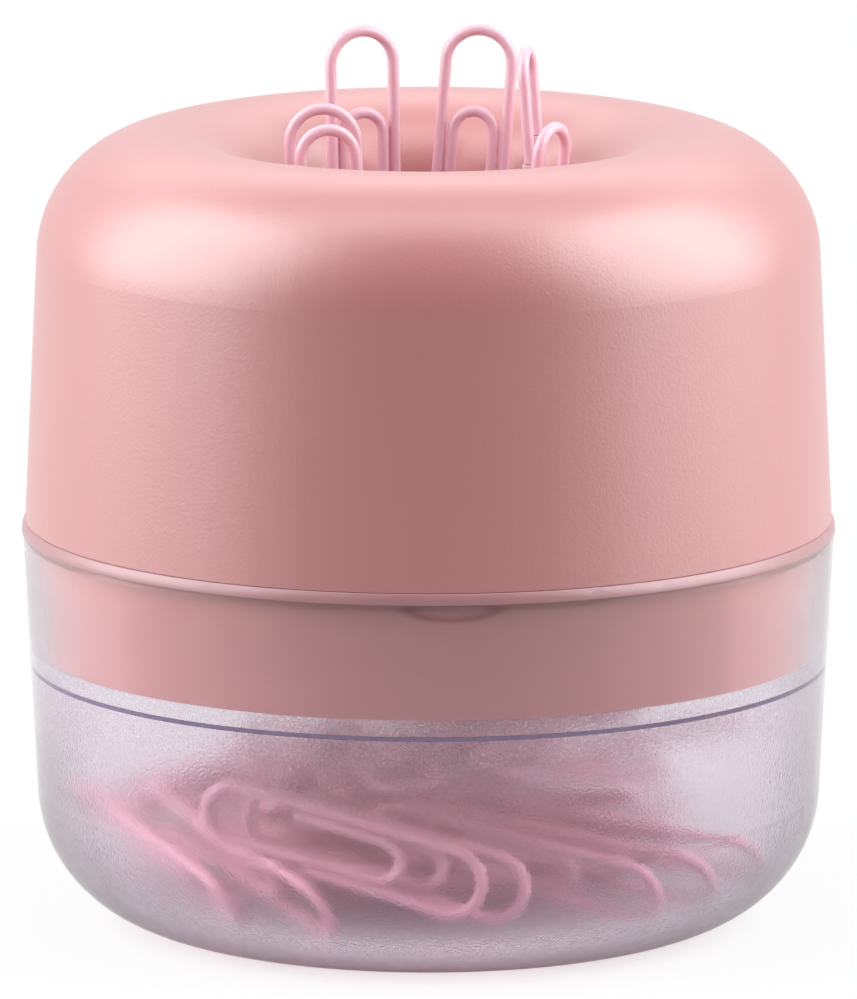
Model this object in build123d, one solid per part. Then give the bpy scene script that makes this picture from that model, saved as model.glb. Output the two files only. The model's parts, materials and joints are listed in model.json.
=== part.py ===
from build123d import *

import itertools
import math
import os

import numpy as np

# A desk holder for paper clips: a clear cup, a doughnut-shaped lid with a ring magnet round its throat,
# clips that stand in the mouth and a heap of loose clips in the cup.
# Sizes are in millimetres and angles in degrees. Z = 0 is the table, and the front faces -Y.

# Outside form
rim_diameter = 78.4
cup_height = 38.2
holder_height = 76.8
cup_draft = 2.9
cup_corner_radius = 13.25
lid_draft = 2.7
lid_shoulder_radius = 12.1
throat_diameter = 29.0

# Cup
cup_wall = 2.3
cup_floor = 2.4
socket_wall = 1.8
ledge_height = 24.75
foot_recess_depth = 0.6
foot_ring_width = 3.5
rim_bead = 0.1
rim_bead_round = 1.75
rim_lip_height = 1.0
rim_lip_wall = 0.75
rim_round = 0.15

# Lid shell
lid_wall = 2.0
lid_inset = 0.3
throat_length = 15.4
throat_end_round = 0.8
seat_rib_count = 6
seat_rib_thickness = 1.6

# Lid plug: the skirt in the cup, the funnel web and the magnet's seat
skirt_length = 11.4
skirt_wall = 1.6
sleeve_length = 9.0
web_thickness = 1.6
web_drop = 11.0
seat_wall = 1.6
seat_wall_height = 3.0
lug_count = 3
lug_width = 9.5
lug_height = 1.3
lug_reach = 0.2
lug_below_rim = 0.95
lug_turn = 3.3

# Ring magnet
magnet_diameter = 48.0
magnet_thickness = 6.0

# Fits
skirt_clearance = 0.3
lip_clearance = 0.1
lip_top_clearance = 0.05
sleeve_clearance = 0.05
collar_clearance = 0.1
magnet_clearance = 0.3

# Paper clip, bent from coated wire
clip_length = 28.5
clip_width = 7.5
wire_diameter = 1.1
clip_leg_gap = 0.1
clip_inner_drop = 8.0
clip_outer_end = 11.0
clip_inner_end = 9.0

# Gaps kept between a clip and what it leans on, measured on points along its wire
clip_gap = 0.2
clip_point_step = 0.6
bed_cell = 0.25

# Clips that stand in the mouth: where round the throat each one leans (0 is +X), how its flat side is turned
# from the front, how it leans sideways and backwards, the share of its length above the crest, and the end
# that is up
standing_clips = [
    ("standing_clip_back_left", 119, 20, -1, 0, 0.295, "double"),
    ("standing_clip_back_right", 71.5, -4, 4.5, 0, 0.295, "double"),
    ("standing_clip_right", 22, 80, 0, -4.5, 0.26, "single"),
    ("standing_clip_front_left", 209, 8, -6.5, 4, 0.053, "single"),
    ("standing_clip_left", 155, 4, -2, 0, 0.065, "double"),
    ("standing_clip_front_right", 324, 60, 0, 6, 0.07, "single"),
]

# Loose clips that lean on the front wall, each with its double end down in the rounded corner: where round
# the cup that end is, how many clip widths it is from the wall, and the clip's heading, pitch and roll
wall_clips = [
    (236, 0.64, -56, -14, -52),
    (253, 0.80, -48, -16, -60),
    (280, 0.61, -17, -13, -88),
    (288, 0.69, -15, -13, -88),
    (313, 0.49, -10, -13, -66),
    (326, 0.43, -4, -12, -56),
    (341, 0.35, 4, -12, -48),
]

# The rest of the heap, poured behind and over them: each clip's place turns on by the golden angle while its
# reach steps on, and the clip takes the heading and tilt that let it sink lowest there
poured_clip_count = 34
pour_shift = 5.0
pour_turn = 137.5
pour_reach_step = 0.66
pour_heading_turn = 7
pour_headings = range(0, 360, 15)
pour_pitches = (-10, -5, 0, 5, 10)
pour_rolls = (-16, -8, 0, 8, 16)

rim_radius = rim_diameter / 2
throat_radius = throat_diameter / 2
wire_radius = wire_diameter / 2
cup_slope = math.tan(math.radians(cup_draft))
lid_slope = math.tan(math.radians(lid_draft))
cup_cos = math.cos(math.radians(cup_draft))
lid_cos = math.cos(math.radians(lid_draft))


def cup_radius(height):
    """Radius of the cup's drafted outside at a height."""
    return rim_radius - rim_bead - (cup_height - height) * cup_slope


def lid_radius(height):
    """Radius of the lid's drafted outside at a height."""
    return rim_radius - lid_inset - (height - cup_height) * lid_slope


# Rim of the cup: a lip that stands round the lid's foot, which rests on a seat inside it at the cup's height
rim_top = cup_height + rim_lip_height
lip_inner_radius = cup_radius(cup_height) - rim_lip_wall


# Inner corner of the cup, an arc between the floor and the drafted wall
bowl_radius = cup_corner_radius - cup_wall
bowl_centre_z = cup_floor + bowl_radius
bowl_centre_r = cup_radius(bowl_centre_z) - (cup_wall + bowl_radius) / cup_cos

# Crest of the lid, where the shoulder's arc meets the well's arc
shoulder_centre_z = holder_height - lid_shoulder_radius
crest_radius = lid_radius(shoulder_centre_z) - lid_shoulder_radius / lid_cos
well_radius = crest_radius - throat_radius
well_centre_z = holder_height - well_radius

# Heights inside the lid, stacked down from the throat
throat_bottom = well_centre_z - throat_length
tube_radius = throat_radius + lid_wall
magnet_bottom = throat_bottom + web_thickness
magnet_top = magnet_bottom + magnet_thickness
skirt_bottom = cup_height - skirt_length
sleeve_top = cup_height + sleeve_length


def revolved(edges):
    """Solid of revolution about Z from the closed outline of a half section in the XZ plane."""
    return revolve(Plane.XZ * make_face(edges), Axis.Z)


def outline(*points):
    """Closed polygon of a half section."""
    return Polyline(*points, close=True)


def base_cup():
    """Clear cup with a rounded foot, a beaded rim, a socket for the lid's skirt and a sloped ledge below it."""
    corner_r = cup_radius(cup_corner_radius) - cup_corner_radius / cup_cos
    corner = (corner_r, cup_corner_radius)
    inside_top = cup_radius(cup_height) - socket_wall / cup_cos
    ledge_top = ledge_height + cup_wall - socket_wall
    ledge_outer = cup_radius(ledge_top) - socket_wall / cup_cos
    ledge_inner = cup_radius(ledge_height) - cup_wall / cup_cos
    recess_radius = corner_r - foot_ring_width
    outer_arc = CenterArc(corner, cup_corner_radius, -90, 90 - cup_draft)
    inner_arc = CenterArc((bowl_centre_r, bowl_centre_z), bowl_radius, -cup_draft, cup_draft - 90)
    bead_down = cup_draft + math.degrees(math.acos((1 - rim_bead / rim_bead_round) * cup_cos))
    bead_up = math.degrees(math.asin(rim_lip_height / rim_bead_round))
    bead = CenterArc((rim_radius - rim_bead_round, cup_height), rim_bead_round, -bead_down, bead_down + bead_up)
    edges = [
        Polyline(
            (0, foot_recess_depth),
            (recess_radius, foot_recess_depth),
            (recess_radius, 0),
            outer_arc @ 0,
        ),
        outer_arc,
        Line(outer_arc @ 1, bead @ 0),
        bead,
        Polyline(
            bead @ 1,
            (lip_inner_radius, rim_top),
            (lip_inner_radius, cup_height),
            (inside_top, cup_height),
            (ledge_outer, ledge_top),
            (ledge_inner, ledge_height),
            inner_arc @ 0,
        ),
        inner_arc,
        Polyline(inner_arc @ 1, (0, cup_floor), (0, foot_recess_depth)),
    ]
    cup = revolved(edges)
    rim_edges = cup.edges().filter_by(GeomType.CIRCLE).group_by(Axis.Z)[-1]
    return fillet(rim_edges, rim_round)


def lid_envelope():
    """Everything inside the lid's outer skin, with a rebate for the rim's lip and the throat bored through."""
    shoulder = CenterArc((crest_radius, shoulder_centre_z), lid_shoulder_radius, lid_draft, 90 - lid_draft)
    well = CenterArc((crest_radius, well_centre_z), well_radius, 90, 90)
    rebate_radius = lip_inner_radius - lip_clearance
    skin_bottom = rim_top + lip_top_clearance
    edges = [
        Polyline(
            (throat_radius, cup_height),
            (rebate_radius, cup_height),
            (rebate_radius, skin_bottom),
            (lid_radius(skin_bottom), skin_bottom),
            shoulder @ 0,
        ),
        shoulder,
        well,
        Line(well @ 1, (throat_radius, cup_height)),
    ]
    return revolved(edges)


def lid_cavity():
    """Hollow of the lid: the space between the outer wall and the throat's tube."""
    shoulder = CenterArc(
        (crest_radius, shoulder_centre_z), lid_shoulder_radius - lid_wall, lid_draft, 90 - lid_draft
    )
    well = CenterArc((crest_radius, well_centre_z), well_radius - lid_wall, 90, 90)
    inner_bottom = lid_radius(cup_height) - lid_wall / lid_cos
    edges = [
        Polyline((inner_bottom, cup_height), shoulder @ 0),
        shoulder,
        well,
        Polyline(
            well @ 1,
            (tube_radius, throat_bottom),
            (throat_radius, throat_bottom),
            (throat_radius, cup_height),
            (inner_bottom, cup_height),
        ),
    ]
    return revolved(edges)


def lid_shell():
    """Doughnut-shaped lid: outer wall, well and throat tube, with ribs that stop the magnet."""
    envelope = lid_envelope()
    shell = envelope - lid_cavity()
    rib_reach = magnet_diameter / 2 - throat_radius - lid_wall / 2
    rib_height = holder_height - magnet_top
    rib_middle = Pos(throat_radius + lid_wall / 2 + rib_reach / 2, 0, magnet_top + rib_height / 2)
    rib = rib_middle * Box(rib_reach, seat_rib_thickness, rib_height)
    for location in PolarLocations(0, seat_rib_count):
        shell += (location * rib) & envelope
    circles = shell.edges().filter_by(GeomType.CIRCLE)
    end_circles = circles.filter_by_position(Axis.Z, throat_bottom, throat_bottom)
    return fillet(end_circles.sort_by(SortBy.RADIUS)[0], throat_end_round)


def lid_plug():
    """Skirt, funnel web and magnet seat in one moulding that closes the lid from below."""
    skirt_clear = socket_wall / cup_cos + skirt_clearance
    skirt_foot = cup_radius(skirt_bottom) - skirt_clear
    sleeve_clear = lid_wall / lid_cos + sleeve_clearance
    waist = min(cup_radius(cup_height) - skirt_clear, lid_radius(cup_height) - sleeve_clear)
    sleeve_head = lid_radius(sleeve_top) - sleeve_clear
    inner = skirt_foot - skirt_wall
    seat_bore = tube_radius + collar_clearance
    seat_rim = magnet_diameter / 2 + magnet_clearance
    seat_outer = seat_rim + seat_wall
    web_foot = throat_bottom - web_drop
    web_slope = web_drop / (inner - seat_outer)
    web_rise = web_thickness * math.hypot(1, web_slope)
    profile = outline(
        (skirt_foot, skirt_bottom),
        (waist, cup_height),
        (sleeve_head, sleeve_top),
        (inner, sleeve_top),
        (inner, web_foot + web_rise),
        (seat_outer, throat_bottom + web_rise),
        (seat_outer, magnet_bottom + seat_wall_height),
        (seat_rim, magnet_bottom + seat_wall_height),
        (seat_rim, magnet_bottom),
        (seat_bore, magnet_bottom),
        (seat_bore, throat_bottom),
        (seat_outer, throat_bottom),
        (inner, web_foot),
        (inner, skirt_bottom),
    )
    plug = revolved(profile)
    lug_z = cup_height - lug_below_rim
    skirt_at_lug = waist - (waist - skirt_foot) * lug_below_rim / skirt_length
    plug_bow = skirt_at_lug - math.sqrt(skirt_at_lug**2 - (lug_width / 2) ** 2)
    lug_bow = plug_bow + lug_reach
    lug_radius = ((lug_width / 2) ** 2 + lug_bow**2) / (2 * lug_bow)
    lug = Pos(skirt_at_lug + lug_reach - lug_radius, 0, lug_z) * Cylinder(lug_radius, lug_height)
    lug = lug - Pos(0, 0, lug_z) * Cylinder(inner + skirt_wall / 2, lug_height)
    for location in PolarLocations(0, lug_count, start_angle=lug_turn - 90):
        plug += location * lug
    return plug


def ring_magnet():
    """Ferrite ring that sits round the throat, between the plug's seat and the shell's ribs."""
    bore = tube_radius + magnet_clearance
    ring = Cylinder(magnet_diameter / 2, magnet_thickness) - Cylinder(bore, magnet_thickness)
    return Pos(0, 0, magnet_bottom + magnet_thickness / 2) * ring


# Paper clip, flat in XY with its long axis on X and its middle at the origin; the double end is towards +X
leg_pitch = wire_diameter + clip_leg_gap
outer_half = (clip_width - wire_diameter) / 2
inner_half = outer_half - leg_pitch
end_bend_radius = outer_half - leg_pitch / 2
outer_bend_x = clip_length / 2 - wire_radius - outer_half
inner_bend_x = clip_length / 2 - clip_inner_drop - wire_radius - inner_half
end_bend_x = -clip_length / 2 + wire_radius + end_bend_radius
outer_end_x = -clip_length / 2 + clip_outer_end
inner_end_x = -clip_length / 2 + clip_inner_end


def clip_path():
    """Centre line of the bent wire: outer loop, end loop and inner loop with four straight legs."""
    return Wire(
        [
            Line((outer_end_x, outer_half), (outer_bend_x, outer_half)),
            CenterArc((outer_bend_x, 0), outer_half, 90, -180),
            Line((outer_bend_x, -outer_half), (end_bend_x, -outer_half)),
            CenterArc((end_bend_x, -leg_pitch / 2), end_bend_radius, -90, -180),
            Line((end_bend_x, inner_half), (inner_bend_x, inner_half)),
            CenterArc((inner_bend_x, 0), inner_half, 90, -180),
            Line((inner_bend_x, -inner_half), (inner_end_x, -inner_half)),
        ]
    )


def paper_clip(path):
    """Wire swept along the clip's centre line."""
    section = Plane(origin=path @ 0, z_dir=path % 0) * Circle(wire_radius)
    return sweep(section, path=path)


def path_points(path):
    """Evenly spaced points along the clip's centre line."""
    count = math.ceil(path.length / clip_point_step)
    return np.array([tuple(path @ (i / count)) for i in range(count + 1)])


def turn(axis, angle):
    """Rotation matrix about X, Y or Z."""
    c = math.cos(math.radians(angle))
    s = math.sin(math.radians(angle))
    rows = {
        "X": ((1, 0, 0), (0, c, -s), (0, s, c)),
        "Y": ((c, 0, s), (0, 1, 0), (-s, 0, c)),
        "Z": ((c, -s, 0), (s, c, 0), (0, 0, 1)),
    }
    return np.array(rows[axis])


def location_of(matrix, position):
    """Location that turns by a matrix and then moves."""
    plane = Plane(origin=tuple(position), x_dir=tuple(matrix[:, 0]), z_dir=tuple(matrix[:, 2]))
    return plane.location


# Two wires are clear when no pair of their points is nearer than this, which allows for the points' spacing
clear_distance = math.hypot(wire_diameter + clip_gap, clip_point_step / math.sqrt(2))
clear_to_wall = wire_radius + clip_gap
bed_reach = bowl_centre_r + bowl_radius
half_cell = bed_cell / math.sqrt(2)


def fits_in_throat(points):
    """True if a wire through the points is clear of the throat and of the well's lip."""
    radius = np.hypot(points[:, 0], points[:, 1])
    low = points[:, 2] < well_centre_z
    in_tube = radius <= throat_radius - clear_to_wall
    to_lip = np.hypot(radius - crest_radius, points[:, 2] - well_centre_z)
    over_lip = (to_lip >= well_radius + clear_to_wall) & (radius < crest_radius)
    return bool(np.all(np.where(low, in_tube, over_lip)))


def fits_between(points, others):
    """True if a wire through the points is clear of every wire already placed."""
    for other in others:
        apart = points[:, None, :] - other[None, :, :]
        if np.min(np.sum(apart**2, axis=2)) < clear_distance**2:
            return False
    return True


def stand_clip(points, placed, azimuth, turn_flat, lean, tilt, above_share, end_up):
    """Stands a clip on end and moves it out from the axis until it touches the throat or a clip."""
    upright = turn("Z", -90) @ turn("Y", -90)
    if end_up == "single":
        upright = turn("Y", 180) @ upright
    matrix = turn("Z", turn_flat) @ turn("X", tilt) @ turn("Y", lean) @ upright
    turned = points @ matrix.T
    height = holder_height + above_share * clip_length - wire_radius - turned[:, 2].max()
    outward = np.array((math.cos(math.radians(azimuth)), math.sin(math.radians(azimuth)), 0))
    position = np.array((0, 0, height))
    step = throat_radius / 2
    while step > clip_gap / 10:
        trial = turned + position + outward * step
        if fits_in_throat(trial) and fits_between(trial, placed):
            position = position + outward * step
        else:
            step /= 2
    return matrix, position


def empty_bed():
    """Map of the lowest clear height for the middle of a wire in the empty bowl, infinite past the wall."""
    axis = np.arange(-bed_reach, bed_reach + bed_cell, bed_cell)
    x, y = np.meshgrid(axis, axis, indexing="ij")
    over = np.maximum(np.hypot(x, y) + half_cell - bowl_centre_r, 0)
    room = bowl_radius - clear_to_wall
    height = bowl_centre_z - np.sqrt(np.maximum(room**2 - over**2, 0))
    return np.where(over < room, height, np.inf)


def cells_of(bed, points):
    """Cells of the bed that points lie over."""
    cells = np.rint((points[:, :2] + bed_reach) / bed_cell).astype(int)
    return np.clip(cells, 0, len(bed) - 1)


def rest_height(bed, points):
    """How far a wire through the points has to rise, or may sink, to just clear the bed."""
    cells = cells_of(bed, points)
    return np.max(bed[cells[:, 0], cells[:, 1]] - points[:, 2])


def cover(bed, points):
    """Raises the bed over a wire that lies in it."""
    reach = clear_distance + half_cell
    span = math.ceil(reach / bed_cell)
    for (column, row), (x, y, z) in zip(cells_of(bed, points), points):
        columns = slice(max(column - span, 0), column + span + 1)
        rows = slice(max(row - span, 0), row + span + 1)
        window = bed[columns, rows]
        along = np.arange(columns.start, columns.start + window.shape[0]) * bed_cell - bed_reach - x
        across = np.arange(rows.start, rows.start + window.shape[1]) * bed_cell - bed_reach - y
        left = reach**2 - along[:, None] ** 2 - across[None, :] ** 2
        top = z + np.sqrt(np.maximum(left, 0))
        np.maximum(window, np.where(left > 0, top, -np.inf), out=window)


def lying(heading, pitch, roll):
    """Turn of a lying clip: heading of its double end, how far that end is raised, and its roll."""
    return turn("Z", heading) @ turn("Y", -pitch) @ turn("X", roll)


def lay_wall_clip(points, bed, azimuth, widths_off, heading, pitch, roll):
    """Lets a clip down with its double end near the wall, moved in only as far as the wall needs."""
    matrix = lying(heading, pitch, roll)
    outward = np.array((math.cos(math.radians(azimuth)), math.sin(math.radians(azimuth)), 0))
    end = matrix[:, 0] * clip_length / 2
    turned = points @ matrix.T - end
    reach = bed_reach - widths_off * clip_width
    height = rest_height(bed, turned + outward * reach)
    while not math.isfinite(height):
        reach -= bed_cell
        height = rest_height(bed, turned + outward * reach)
    return matrix, outward * reach - end + np.array((0, 0, height))


def pour_clip(points, bed, number):
    """Lets a clip fall at its place in the spiral, headed and tilted so that its middle comes lowest."""
    azimuth = math.radians(number * pour_turn)
    reach = (bowl_centre_r - pour_shift) * math.sqrt(number * pour_reach_step % 1)
    middle = np.array((math.cos(azimuth) * reach, math.sin(azimuth) * reach + pour_shift, 0))
    best_height = math.inf
    for heading, pitch, roll in itertools.product(pour_headings, pour_pitches, pour_rolls):
        matrix = lying(heading + number * pour_heading_turn, pitch, roll)
        height = rest_height(bed, points @ matrix.T + middle)
        if height < best_height:
            best_height = height
            best = matrix, middle + np.array((0, 0, height))
    return best


def place_standing_clips(points):
    """Name, turn and place of each clip in the mouth."""
    placed = []
    poses = []
    for name, *pose in standing_clips:
        matrix, position = stand_clip(points, placed, *pose)
        placed.append(points @ matrix.T + position)
        poses.append((name, matrix, position))
    return poses


def place_loose_clips(points):
    """Name, turn and place of each clip in the cup: first those at the wall, then the poured heap."""
    bed = empty_bed()
    poses = []
    for i in range(len(wall_clips) + poured_clip_count):
        if i < len(wall_clips):
            matrix, position = lay_wall_clip(points, bed, *wall_clips[i])
        else:
            matrix, position = pour_clip(points, bed, i - len(wall_clips))
        cover(bed, points @ matrix.T + position)
        poses.append((f"loose_clip_{i + 1:02d}", matrix, position))
    return poses


def main():
    os.makedirs("parts", exist_ok=True)
    pieces = {
        "base_cup": base_cup(),
        "lid_shell": lid_shell(),
        "lid_plug": lid_plug(),
        "ring_magnet": ring_magnet(),
    }
    path = clip_path()
    clip = paper_clip(path)
    points = path_points(path)
    for name, matrix, position in place_standing_clips(points) + place_loose_clips(points):
        pieces[name] = location_of(matrix, position) * clip
    for name, piece in pieces.items():
        export_step(piece, f"parts/{name}.step")


main()
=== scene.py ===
import json
import math

import bmesh
import bpy
from mathutils import Matrix, Vector


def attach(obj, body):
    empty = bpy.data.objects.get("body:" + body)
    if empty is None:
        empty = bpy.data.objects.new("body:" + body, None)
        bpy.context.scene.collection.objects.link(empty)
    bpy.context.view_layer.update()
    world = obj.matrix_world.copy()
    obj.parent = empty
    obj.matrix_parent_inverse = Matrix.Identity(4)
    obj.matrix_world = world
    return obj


# Looks for a desk holder for paper clips: a frosted clear cup, a satin pink doughnut-shaped lid and
# coated clips. Everything is in metres, Z = 0 is the table and the front faces -Y.

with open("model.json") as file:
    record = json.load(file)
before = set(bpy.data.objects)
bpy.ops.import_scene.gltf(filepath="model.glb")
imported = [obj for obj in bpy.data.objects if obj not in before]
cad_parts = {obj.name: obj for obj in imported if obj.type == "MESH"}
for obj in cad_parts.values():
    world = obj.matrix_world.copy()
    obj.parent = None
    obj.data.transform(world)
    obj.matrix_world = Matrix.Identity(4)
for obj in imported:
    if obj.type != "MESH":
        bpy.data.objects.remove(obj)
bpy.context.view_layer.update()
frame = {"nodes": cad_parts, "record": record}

mm = 0.001

# Camera, straight in front of the holder and tilted down to it
camera_distance = 1177.4 * mm
camera_height = 266.9 * mm
camera_aim_height = 40.73 * mm
camera_lens = 448.3

# Light of the room, beside the lamps, and of its white backdrop where the cup or a reflection shows it
room_light = 0.035
backdrop_light = 0.8

# Where reflections turn from the room to the backdrop: the Y part of a direction, and Y on the floor
room_back_start, room_back_end = -0.3, 0.6
floor_back_start, floor_back_end = -50 * mm, 100 * mm

# Lamps: place and aim in metres, width and height in metres, power in watts
side_box = {"place": (0.42, -0.07, 0.29), "aim": (0, -0.02, 0.1), "size": (0.55, 0.55), "power": 3.2}
over_box = {"place": (0, -0.08, 0.62), "aim": (0, 0, 0.07), "size": (1.0, 0.25), "power": 1.4}
back_box = {"place": (0, 0.45, 0.5), "aim": (0, 0, 0.07), "size": (0.8, 0.3), "power": 0.75}

# Paper floor: half its width, and the radii round the holder over which its shadow ends, the light that the
# cup's foot gathers ends, and the paper turns from a little grey to all white
floor_half = 3
shadow_inner, shadow_outer = 12 * mm, 32 * mm
foot_inner, foot_outer = 60 * mm, 100 * mm
white_inner, white_outer = 80 * mm, 350 * mm
near_paper = 0.88

# Cup's section: the ring that its rounded corner turns about, how far from that ring the inside reaches,
# and how the wall leans out above it
corner_ring_radius = 24.5 * mm
corner_ring_height = 13.3 * mm
inside_reach = 12.9 * mm
wall_slope = math.tan(math.radians(2.9))

# Heights where the cup's finish changes: the open band, painted milkier as painted light, the sloped ledge
# inside with its painted violet line, the lid's skirt behind the wall, the painted lift of the lid's shadow
# under the lid and the bead of the rim, painted with the lid's pink
band_bottom = 16 * mm
band_top = 23 * mm
ledge_height = 25.0 * mm
ledge_half = 0.19 * mm
skirt_bottom = 26.8 * mm
shadow_lift_bottom = 33 * mm
shadow_lift_top = 37.6 * mm
rim_foot = 38.15 * mm

# Share of the light that the ledge's painted violet line and the rim's bead, painted with the lid's pink,
# don't let through
ledge_cover = 0.75
rim_cover = 0.85

# Marks of the lid's lugs, pressed against the inside of the cup: the wall is clear there, and a crescent of
# painted shade stands in for the shadow under each lug. Each is the soft outline of the lower half of an
# ellipse: the first one's turn in degrees, the ellipse's size, where the outline lies and half its width as
# shares of that size, and how many times as fast the mark ends above
lug_count = 3
lug_turn = 3.3
lug_half_width = 4.9 * mm
lug_top = 37.9 * mm
lug_drop = 1.5 * mm
lug_outline = 0.85
lug_outline_half = 0.3
lug_top_cut = 8

# Satin of the lid, which the rim's bead shares
satin_roughness = 0.42
satin_ior = 1.7

# Clip wire: the steel core that shows where it is cut, as a low cap
core_diameter = 0.8 * mm
core_top_diameter = 0.6 * mm
core_proud = 0.03 * mm
core_sides = 20

# Cut faces of a clip: what counts as one point and as one flat face, and the most corners of other faces
same_point = 0.001 * mm
flat_angle = math.radians(0.5)
other_corners = 8


def linear(hex_colour):
    """Linear RGBA of an sRGB hex colour."""
    channels = [int(hex_colour[i:i + 2], 16) / 255 for i in (1, 3, 5)]
    return [c / 12.92 if c <= 0.04045 else ((c + 0.055) / 1.055) ** 2.4 for c in channels] + [1]


def add(tree, kind, inputs=None, **settings):
    """Adds a shader node with its settings, and gives its inputs values or links."""
    node = tree.nodes.new("ShaderNode" + kind)
    for name, value in settings.items():
        setattr(node, name, value)
    for key, value in (inputs or {}).items():
        if isinstance(value, bpy.types.NodeSocket):
            tree.links.new(value, node.inputs[key])
        else:
            node.inputs[key].default_value = value
    return node


def new_material(name):
    """Empty material, its node tree and its object coordinates."""
    material = bpy.data.materials.new(name)
    material.use_nodes = True
    tree = material.node_tree
    tree.nodes.clear()
    return material, tree, add(tree, "TexCoord").outputs["Object"]


def satin_pink_abs():
    """ABS moulded in a spark-eroded tool: an even fine grain that spreads highlights into a soft satin."""
    material, tree, place = new_material("satin_pink_abs")
    cloud = add(tree, "TexNoise", {"Vector": place, "Scale": 1 / (22 * mm), "Detail": 3})
    colour = add(
        tree, "Mix", {0: cloud.outputs["Fac"], 6: linear("#cc8080"), 7: linear("#d18585")}, data_type="RGBA"
    )
    # Spark grain, drawn coarser than it is so that it shows
    grain = add(tree, "TexNoise", {"Vector": place, "Scale": 1 / (0.3 * mm), "Detail": 2})
    rough = add(tree, "MapRange", {"Value": grain.outputs["Fac"], "To Min": 0.34, "To Max": 0.44})
    bump = add(tree, "Bump", {"Height": grain.outputs["Fac"], "Strength": 0.65, "Distance": 0.04 * mm})
    shader = add(
        tree,
        "BsdfPrincipled",
        {
            "Base Color": colour.outputs[2],
            "Roughness": rough.outputs["Result"],
            "IOR": 1.55,
            "Specular IOR Level": 1,
            "Coat Weight": 1,
            "Coat Roughness": satin_roughness,
            "Coat IOR": satin_ior,
            "Normal": bump.outputs["Normal"],
        },
    )
    add(tree, "OutputMaterial", {"Surface": shader.outputs["BSDF"]})
    return material


def smooth_pink_abs():
    """The same ABS from a polished tool: smoother and a little glossier, with faint flow marks."""
    material, tree, place = new_material("smooth_pink_abs")
    flow = add(tree, "TexNoise", {"Vector": place, "Scale": 1 / (9 * mm), "Detail": 4})
    colour = add(
        tree, "Mix", {0: flow.outputs["Fac"], 6: linear("#d0887f"), 7: linear("#d58d84")}, data_type="RGBA"
    )
    rough = add(tree, "MapRange", {"Value": flow.outputs["Fac"], "To Min": 0.3, "To Max": 0.42})
    shader = add(
        tree,
        "BsdfPrincipled",
        {
            "Base Color": colour.outputs[2],
            "Roughness": rough.outputs["Result"],
            "IOR": 1.55,
            "Specular IOR Level": 1,
            "Coat Weight": 1,
            "Coat Roughness": 0.38,
            "Coat IOR": satin_ior,
        },
    )
    add(tree, "OutputMaterial", {"Surface": shader.outputs["BSDF"]})
    return material


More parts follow.
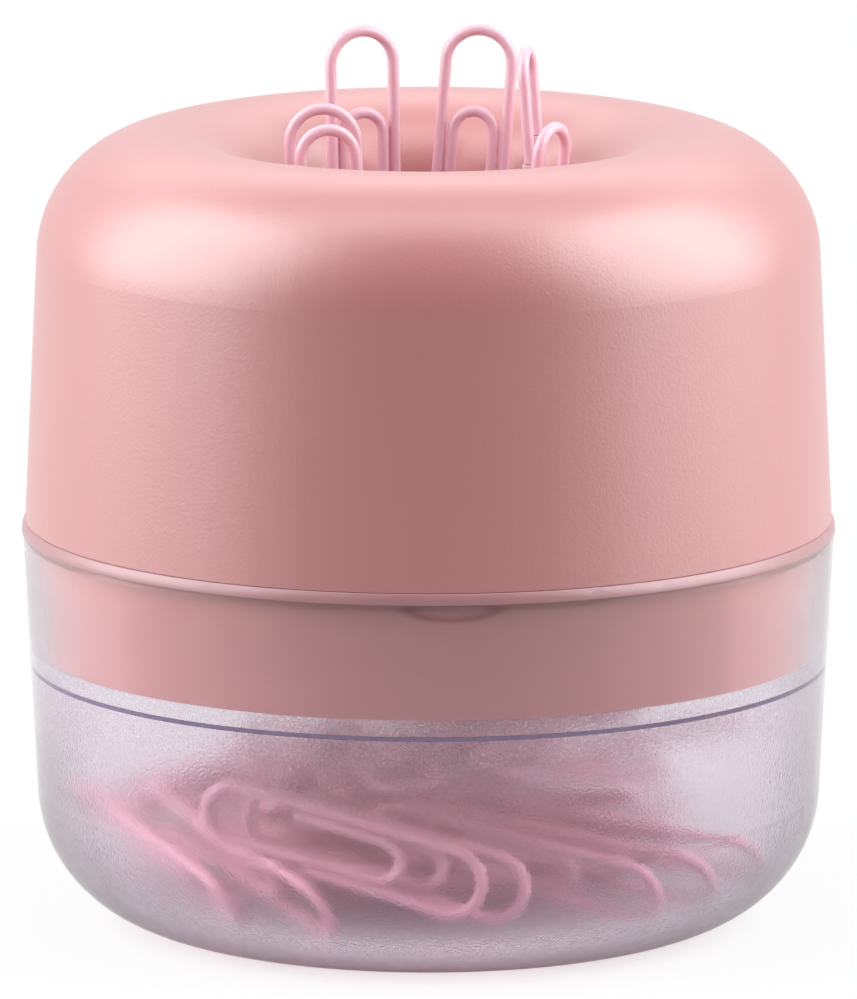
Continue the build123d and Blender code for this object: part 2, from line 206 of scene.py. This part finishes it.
def frosted_clear_styrene():
    """Clear polystyrene with a faint violet tint, polished outside and spark-textured inside: milky grains
    that glint and blur what lies behind, clear only where the lid's lugs press. Painted light on it: shade
    under the lugs, a milkier band under the skirt, a lift of the lid's shadow, a violet line at the ledge
    and the lid's pink on the rim's bead."""
    material, tree, place = new_material("frosted_clear_styrene")
    parts = add(tree, "SeparateXYZ", {"Vector": place})
    height = parts.outputs["Z"]
    flat = add(tree, "VectorMath", {0: place, 1: (1, 1, 0)}, operation="MULTIPLY")
    radius = add(tree, "VectorMath", {0: flat.outputs["Vector"]}, operation="LENGTH").outputs["Value"]

    # Inside of the cup: nearer to its corner's ring than the outer face of the wall
    out = add(tree, "Math", {0: radius, 1: corner_ring_radius}, operation="SUBTRACT")
    out = add(tree, "Math", {0: out.outputs["Value"], 1: 0}, operation="MAXIMUM")
    rise = add(tree, "Math", {0: height, 1: corner_ring_height}, operation="SUBTRACT")
    down = add(tree, "Math", {0: rise.outputs["Value"], 1: 0}, operation="MINIMUM")
    up = add(tree, "Math", {0: rise.outputs["Value"], 1: 0}, operation="MAXIMUM")
    section = add(tree, "CombineXYZ", {"X": out.outputs["Value"], "Y": down.outputs["Value"]})
    reach = add(tree, "VectorMath", {0: section.outputs["Vector"]}, operation="LENGTH")
    limit = add(
        tree, "Math", {0: up.outputs["Value"], 1: wall_slope, 2: inside_reach}, operation="MULTIPLY_ADD"
    )
    inside = add(
        tree, "Math", {0: reach.outputs["Value"], 1: limit.outputs["Value"]}, operation="LESS_THAN"
    )

    # Lug marks: crescents that hang under the rim, where the wall is clear and painted shade stands in for
    # the shadow under each lug
    half_turn = math.pi / lug_count
    turn = add(tree, "Math", {0: parts.outputs["Y"], 1: parts.outputs["X"]}, operation="ARCTAN2")
    turn = add(tree, "Math", {0: turn.outputs["Value"], 1: math.radians(90 - lug_turn)}, operation="ADD")
    turn = add(tree, "Math", {0: turn.outputs["Value"], 1: half_turn, 2: -half_turn}, operation="WRAP")
    along = add(tree, "Math", {0: turn.outputs["Value"], 1: radius}, operation="MULTIPLY")
    along = add(tree, "Math", {0: along.outputs["Value"], 1: lug_half_width}, operation="DIVIDE")
    below = add(
        tree,
        "MapRange",
        {"Value": height, "From Min": lug_top, "From Max": lug_top - lug_drop},
        clamp=False,
    )
    above = add(tree, "Math", {0: below.outputs["Result"], 1: -lug_top_cut}, operation="MULTIPLY")
    below = add(tree, "Math", {0: below.outputs["Result"], 1: above.outputs["Value"]}, operation="MAXIMUM")
    mark = add(tree, "CombineXYZ", {"X": along.outputs["Value"], "Y": below.outputs["Value"]})
    mark = add(tree, "VectorMath", {0: mark.outputs["Vector"]}, operation="LENGTH")
    edge = add(tree, "Math", {0: mark.outputs["Value"], 1: lug_outline}, operation="SUBTRACT")
    edge = add(tree, "Math", {0: edge.outputs["Value"]}, operation="ABSOLUTE")
    lug_contact_and_shade = add(
        tree,
        "MapRange",
        {"Value": edge.outputs["Value"], "From Max": lug_outline_half, "To Min": 1, "To Max": 0},
    )
    frosted = add(
        tree,
        "Math",
        {0: inside.outputs["Value"], 1: lug_contact_and_shade.outputs["Result"]},
        operation="SUBTRACT",
        use_clamp=True,
    )

    # Spark grain, drawn coarser than it is so that it shows. In front of the skirt the wall looks smooth
    grain = add(tree, "TexNoise", {"Vector": place, "Scale": 1 / (0.25 * mm), "Detail": 1})
    open_wall = add(tree, "Math", {0: height, 1: skirt_bottom}, operation="LESS_THAN")
    coarse = add(
        tree, "Math", {0: frosted.outputs["Value"], 1: open_wall.outputs["Value"]}, operation="MULTIPLY"
    )
    relief = add(tree, "Math", {0: grain.outputs["Fac"], 1: coarse.outputs["Value"]}, operation="MULTIPLY")
    bump = add(tree, "Bump", {"Height": relief.outputs["Value"], "Strength": 0.6, "Distance": 0.04 * mm})
    rough = add(tree, "MapRange", {"Value": frosted.outputs["Value"], "To Min": 0.03, "To Max": 0.18})

    # The frost is painted milkier in the open band under the skirt, painted light for the bright back wall
    # seen there over the heap, and less milky down by the heap
    milk = add(
        tree,
        "MapRange",
        {"Value": grain.outputs["Fac"], "From Min": 0.35, "From Max": 0.65, "To Min": 0.14, "To Max": 0.3},
    )
    painted_band_light = add(
        tree, "MapRange", {"Value": height, "From Min": band_bottom, "From Max": band_top, "To Min": 0.2}
    )
    painted_band_light = add(tree, "Math", {0: painted_band_light.outputs["Result"], 1: coarse.outputs["Value"]}, operation="MULTIPLY")
    milk = add(tree, "Math", {0: milk.outputs["Result"], 1: painted_band_light.outputs["Value"]}, operation="MULTIPLY")

    # Up under the lid the frost is painted milkier, painted light that lifts the lid's shadow on the skirt
    lid_shadow_lift = add(tree, "MapRange", {"Value": height, "From Min": shadow_lift_bottom, "From Max": shadow_lift_top})
    painted_lift = add(tree, "MapRange", {"Value": lid_shadow_lift.outputs["Result"], "To Min": 0.04, "To Max": 0.2})
    painted_lift = add(tree, "Math", {0: painted_lift.outputs["Result"], 1: frosted.outputs["Value"]}, operation="MULTIPLY")
    milk = add(tree, "Math", {0: milk.outputs["Value"], 1: painted_lift.outputs["Value"]}, operation="MAXIMUM")
    # Painted light: a pink tint under the lid for light thrown back from the lid's pink
    colour = add(
        tree,
        "Mix",
        {0: lid_shadow_lift.outputs["Result"], 6: linear("#fbfafc"), 7: linear("#fef1ef")},
        data_type="RGBA",
    )
    # Painted shade: a darker tint in each lug's crescent
    colour = add(
        tree,
        "Mix",
        {0: lug_contact_and_shade.outputs["Result"], 6: colour.outputs[2], 7: linear("#e3cfd6")},
        data_type="RGBA",
    )

    # A painted violet line round the cup at the ledge, painted light that stands in for the light the ledge
    # turns along the wall, where the tint gathers
    painted_ledge_line = add(tree, "Math", {0: height, 1: ledge_height, 2: ledge_half}, operation="COMPARE")
    painted_ledge_line = add(tree, "Math", {0: painted_ledge_line.outputs["Value"], 1: inside.outputs["Value"]}, operation="MULTIPLY")
    colour = add(
        tree,
        "Mix",
        {0: painted_ledge_line.outputs["Value"], 6: colour.outputs[2], 7: linear("#dcc8f4")},
        data_type="RGBA",
    )
    line = add(tree, "Math", {0: painted_ledge_line.outputs["Value"], 1: ledge_cover}, operation="MULTIPLY")
    milk = add(tree, "Math", {0: milk.outputs["Value"], 1: line.outputs["Value"]}, operation="MAXIMUM")

    # The rim's bead is satin, and the lid's pink seen through the clear bead is painted onto it as its
    # colour
    rim = add(tree, "Math", {0: height, 1: rim_foot}, operation="GREATER_THAN")
    colour = add(
        tree, "Mix", {0: rim.outputs["Value"], 6: colour.outputs[2], 7: linear("#c0888e")}, data_type="RGBA"
    )
    satin = add(tree, "Math", {0: rim.outputs["Value"], 1: satin_roughness}, operation="MULTIPLY")
    rough = add(tree, "Math", {0: rough.outputs["Result"], 1: satin.outputs["Value"]}, operation="MAXIMUM")
    cover = add(tree, "Math", {0: rim.outputs["Value"], 1: rim_cover}, operation="MULTIPLY")
    milk = add(tree, "Math", {0: milk.outputs["Value"], 1: cover.outputs["Value"]}, operation="MAXIMUM")
    through = add(tree, "Math", {0: 1, 1: milk.outputs["Value"]}, operation="SUBTRACT")
    clear = add(
        tree,
        "BsdfPrincipled",
        {
            "Base Color": colour.outputs[2],
            "Roughness": rough.outputs["Value"],
            "IOR": 1.59,
            "Transmission Weight": through.outputs["Value"],
            "Coat Weight": rim.outputs["Value"],
            "Coat Roughness": satin_roughness,
            "Coat IOR": satin_ior,
            "Normal": bump.outputs["Normal"],
        },
    )

    # Lamps shine through the wall, low down with a blush, so that the clips and the skirt are lit
    low = add(tree, "Math", {0: height, 1: ledge_height}, operation="LESS_THAN")
    blush = add(
        tree, "Mix", {0: low.outputs["Value"], 6: linear("#f8f6f9"), 7: linear("#ffe8ea")}, data_type="RGBA"
    )
    lit = add(tree, "BsdfTransparent", {"Color": blush.outputs[2]})
    rays = add(tree, "LightPath")
    shader = add(
        tree,
        "MixShader",
        {0: rays.outputs["Is Shadow Ray"], 1: clear.outputs["BSDF"], 2: lit.outputs["BSDF"]},
    )
    tint = add(tree, "VolumeAbsorption", {"Color": linear("#c9abcd"), "Density": 70})
    add(tree, "OutputMaterial", {"Surface": shader.outputs["Shader"], "Volume": tint.outputs["Volume"]})
    return material


def vinyl_coated_wire():
    """Steel wire drawn through soft vinyl: a smooth even coat with slight pulls along it."""
    material, tree, place = new_material("vinyl_coated_wire")
    pulls = add(tree, "TexNoise", {"Vector": place, "Scale": 1 / (3 * mm), "Detail": 3})
    colour = add(
        tree, "Mix", {0: pulls.outputs["Fac"], 6: linear("#f4c4d3"), 7: linear("#f8cedb")}, data_type="RGBA"
    )
    rough = add(tree, "MapRange", {"Value": pulls.outputs["Fac"], "To Min": 0.3, "To Max": 0.42})
    bump = add(tree, "Bump", {"Height": pulls.outputs["Fac"], "Strength": 0.2, "Distance": 0.05 * mm})
    shader = add(
        tree,
        "BsdfPrincipled",
        {
            "Base Color": colour.outputs[2],
            "Roughness": rough.outputs["Result"],
            "IOR": 1.53,
            "Specular IOR Level": 1,
            "Subsurface Weight": 0.5,
            "Subsurface Radius": (1, 0.9, 0.9),
            "Subsurface Scale": 0.8 * mm,
            "Normal": bump.outputs["Normal"],
        },
    )
    add(tree, "OutputMaterial", {"Surface": shader.outputs["BSDF"]})
    return material


def cut_steel():
    """Sheared low-carbon steel: dull grey with fine drag marks."""
    material, tree, place = new_material("cut_steel")
    # Drag marks are finer than this and are drawn coarser so that they show
    drag = add(tree, "TexNoise", {"Vector": place, "Scale": 1 / (0.15 * mm), "Detail": 2})
    colour = add(
        tree, "Mix", {0: drag.outputs["Fac"], 6: linear("#6f6b6e"), 7: linear("#9a9699")}, data_type="RGBA"
    )
    rough = add(tree, "MapRange", {"Value": drag.outputs["Fac"], "To Min": 0.35, "To Max": 0.55})
    shader = add(
        tree,
        "BsdfPrincipled",
        {"Base Color": colour.outputs[2], "Roughness": rough.outputs["Result"], "Metallic": 1},
    )
    add(tree, "OutputMaterial", {"Surface": shader.outputs["BSDF"]})
    return material


def sintered_ferrite():
    """Pressed and ground ceramic magnet: charcoal with a fine grey speckle."""
    material, tree, place = new_material("sintered_ferrite")
    # The speckle is finer than this and is drawn coarser so that it shows
    speckle = add(tree, "TexNoise", {"Vector": place, "Scale": 1 / (0.5 * mm), "Detail": 4})
    colour = add(
        tree,
        "Mix",
        {0: speckle.outputs["Fac"], 6: linear("#232325"), 7: linear("#3a3a3d")},
        data_type="RGBA",
    )
    rough = add(tree, "MapRange", {"Value": speckle.outputs["Fac"], "To Min": 0.5, "To Max": 0.7})
    bump = add(tree, "Bump", {"Height": speckle.outputs["Fac"], "Strength": 0.3, "Distance": 0.03 * mm})
    shader = add(
        tree,
        "BsdfPrincipled",
        {
            "Base Color": colour.outputs[2],
            "Roughness": rough.outputs["Result"],
            "Normal": bump.outputs["Normal"],
        },
    )
    add(tree, "OutputMaterial", {"Surface": shader.outputs["BSDF"]})
    return material


def seen_white(tree, towards_back):
    """1 where the camera sees a surface straight, and the backdrop's light where it sees it through clear
    plastic or, towards the back, in a reflection."""
    rays = add(tree, "LightPath")
    # Depths count bounces, so a half parts none from some
    mirrored = add(tree, "Math", {0: rays.outputs["Glossy Depth"], 1: 0.5}, operation="GREATER_THAN")
    white = add(tree, "Mix", {0: mirrored.outputs["Value"], 2: 1, 3: towards_back})
    unlit = add(tree, "Math", {0: rays.outputs["Diffuse Depth"], 1: 0.5}, operation="LESS_THAN")
    unlit = add(tree, "Math", {0: unlit.outputs["Value"], 1: backdrop_light}, operation="MULTIPLY")
    bent = add(
        tree,
        "Math",
        {0: rays.outputs["Is Glossy Ray"], 1: rays.outputs["Is Transmission Ray"]},
        operation="MAXIMUM",
    )
    clear = add(tree, "Math", {0: white.outputs[0], 1: unlit.outputs["Value"]}, operation="MULTIPLY")
    clear = add(tree, "Math", {0: clear.outputs["Value"], 1: bent.outputs["Value"]}, operation="MULTIPLY")
    seen = add(
        tree, "Math", {0: rays.outputs["Is Camera Ray"], 1: clear.outputs["Value"]}, operation="MAXIMUM"
    )
    return seen.outputs["Value"]


def white_sweep():
    """Studio paper: white to the camera and in reflections, with a soft shadow under the holder, and greyer
    for the light that it throws back."""
    material, tree, place = new_material("white_sweep")
    parts = add(tree, "SeparateXYZ", {"Vector": place})
    radius = add(tree, "VectorMath", {0: place}, operation="LENGTH").outputs["Value"]
    behind = add(
        tree,
        "MapRange",
        {"Value": parts.outputs["Y"], "From Min": floor_back_start, "From Max": floor_back_end},
    )
    # The cup's rounded foot gathers light from the paper round it
    near = add(
        tree,
        "MapRange",
        {"Value": radius, "From Min": foot_inner, "From Max": foot_outer, "To Min": 1, "To Max": 0},
    )
    foot = add(
        tree,
        "Math",
        {0: add(tree, "LightPath").outputs["Is Transmission Ray"], 1: near.outputs["Result"]},
        operation="MULTIPLY",
    )
    towards = add(
        tree, "Math", {0: behind.outputs["Result"], 1: foot.outputs["Value"]}, operation="MAXIMUM"
    )
    seen = seen_white(tree, towards.outputs["Value"])
    # The paper's tooth is finer than this and is drawn coarser so that it shows
    tooth = add(tree, "TexNoise", {"Vector": place, "Scale": 1 / (2 * mm), "Detail": 2})
    dull = add(
        tree, "Mix", {0: tooth.outputs["Fac"], 6: linear("#a8a8a8"), 7: linear("#acacac")}, data_type="RGBA"
    )
    colour = add(tree, "Mix", {0: seen, 6: dull.outputs[2], 7: linear("#f6f6f6")}, data_type="RGBA")
    paper = add(tree, "BsdfDiffuse", {"Color": colour.outputs[2]})
    glow = add(tree, "Emission", {"Color": (1, 1, 1, 1), "Strength": 1})
    # Under the holder the paper has only the light that falls there, and far from it it is all white
    beside = add(tree, "MapRange", {"Value": radius, "From Min": shadow_inner, "From Max": shadow_outer})
    far = add(
        tree,
        "MapRange",
        {"Value": radius, "From Min": white_inner, "From Max": white_outer, "To Min": near_paper},
    )
    share = add(tree, "Math", {0: beside.outputs["Result"], 1: far.outputs["Result"]}, operation="MULTIPLY")
    share = add(tree, "Math", {0: seen, 1: share.outputs["Value"]}, operation="MULTIPLY")
    shader = add(
        tree,
        "MixShader",
        {0: share.outputs["Value"], 1: paper.outputs["BSDF"], 2: glow.outputs["Emission"]},
    )
    add(tree, "OutputMaterial", {"Surface": shader.outputs["Shader"]})
    return material


def dress(names, material):
    """Gives CAD nodes a material."""
    for name in names:
        for slot in frame["nodes"][name].material_slots:
            slot.material = material


def cut_faces(clip):
    """Middle and outward direction of the two flat faces where a clip's wire is cut, found in a copy of its
    mesh with flat parts merged: only they have many corners."""
    copy = bmesh.new()
    copy.from_mesh(clip.data)
    bmesh.ops.remove_doubles(copy, verts=copy.verts, dist=same_point)
    bmesh.ops.dissolve_limit(copy, angle_limit=flat_angle, verts=copy.verts, edges=copy.edges)
    cut = [face for face in copy.faces if len(face.verts) > other_corners]
    ends = [(face.calc_center_median(), face.normal.copy()) for face in cut]
    copy.free()
    return ends


def wire_cores(name, clips, material, body):
    """Low caps of bare steel that stand a little proud of the cut ends of clips."""
    shape = bmesh.new()
    for clip in clips:
        for middle, outward in cut_faces(clip):
            place = Matrix.Translation(middle) @ outward.to_track_quat("Z", "Y").to_matrix().to_4x4()
            bmesh.ops.create_cone(
                shape,
                cap_ends=True,
                segments=core_sides,
                radius1=core_diameter / 2,
                radius2=core_top_diameter / 2,
                depth=core_proud * 2,
                matrix=place,
            )
    bmesh.ops.recalc_face_normals(shape, faces=shape.faces)
    mesh = bpy.data.meshes.new(name)
    shape.to_mesh(mesh)
    shape.free()
    piece = bpy.data.objects.new(name, mesh)
    piece.data.materials.append(material)
    bpy.context.scene.collection.objects.link(piece)
    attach(piece, body)


def soft_box(name, box, side=1):
    """Rectangular studio lamp that points at a place, on the right or, with a side of -1, on the left."""
    lamp = bpy.data.lights.new(name, "AREA")
    lamp.shape = "RECTANGLE"
    lamp.size, lamp.size_y = box["size"]
    lamp.energy = box["power"]
    across, along, up = box["place"]
    holder = bpy.data.objects.new(name, lamp)
    holder.location = (side * across, along, up)
    holder.rotation_euler = (Vector(box["aim"]) - holder.location).to_track_quat("-Z", "Y").to_euler()
    bpy.context.scene.collection.objects.link(holder)


def stage():
    """White paper floor, white surroundings, lamps on both sides, above and behind, and the camera."""
    shape = bmesh.new()
    bmesh.ops.create_grid(shape, x_segments=1, y_segments=1, size=floor_half)
    mesh = bpy.data.meshes.new("studio_floor")
    shape.to_mesh(mesh)
    shape.free()
    floor = bpy.data.objects.new("studio_floor", mesh)
    floor.data.materials.append(white_sweep())
    bpy.context.scene.collection.objects.link(floor)

    world = bpy.data.worlds.new("white_room")
    world.use_nodes = True
    tree = world.node_tree
    tree.nodes.clear()
    # Reflections show the white backdrop behind the holder and the dark room in front of it
    towards = add(tree, "SeparateXYZ", {"Vector": add(tree, "TexCoord").outputs["Generated"]})
    behind = add(
        tree,
        "MapRange",
        {"Value": towards.outputs["Y"], "From Min": room_back_start, "From Max": room_back_end},
    )
    seen = seen_white(tree, behind.outputs["Result"])
    dim = add(tree, "Background", {"Color": (1, 1, 1, 1), "Strength": room_light})
    white = add(tree, "Background", {"Color": (1, 1, 1, 1), "Strength": 1})
    shader = add(
        tree, "MixShader", {0: seen, 1: dim.outputs["Background"], 2: white.outputs["Background"]}
    )
    add(tree, "OutputWorld", {"Surface": shader.outputs["Shader"]})
    bpy.context.scene.world = world

    soft_box("side_box_left", side_box, -1)
    soft_box("side_box_right", side_box)
    soft_box("over_box", over_box)
    soft_box("back_box", back_box)

    view = bpy.data.cameras.new("camera")
    view.lens = camera_lens
    view.clip_end = 50
    camera = bpy.data.objects.new("camera", view)
    camera.location = (0, -camera_distance, camera_height)
    aim = Vector((0, 0, camera_aim_height))
    camera.rotation_euler = (aim - camera.location).to_track_quat("-Z", "Y").to_euler()
    bpy.context.scene.collection.objects.link(camera)
    bpy.context.scene.camera = camera
    bpy.context.scene.view_settings.view_transform = "Standard"


bodies = frame["record"]["behaviour"]["bodies"]
standing = {body: nodes[0] for body, nodes in bodies.items() if body.startswith("clip_")}
loose = [node for node in bodies["cup"] if node.startswith("loose_clip")]

dress(["base_cup"], frosted_clear_styrene())
dress(["lid_shell"], satin_pink_abs())
dress(["lid_plug"], smooth_pink_abs())
dress(["ring_magnet"], sintered_ferrite())
dress(list(standing.values()) + loose, vinyl_coated_wire())

steel = cut_steel()
wire_cores("loose_clip_cut_ends", [frame["nodes"][node] for node in loose], steel, "cup")
for body, node in standing.items():
    wire_cores(node + "_cut_ends", [frame["nodes"][node]], steel, body)

stage()
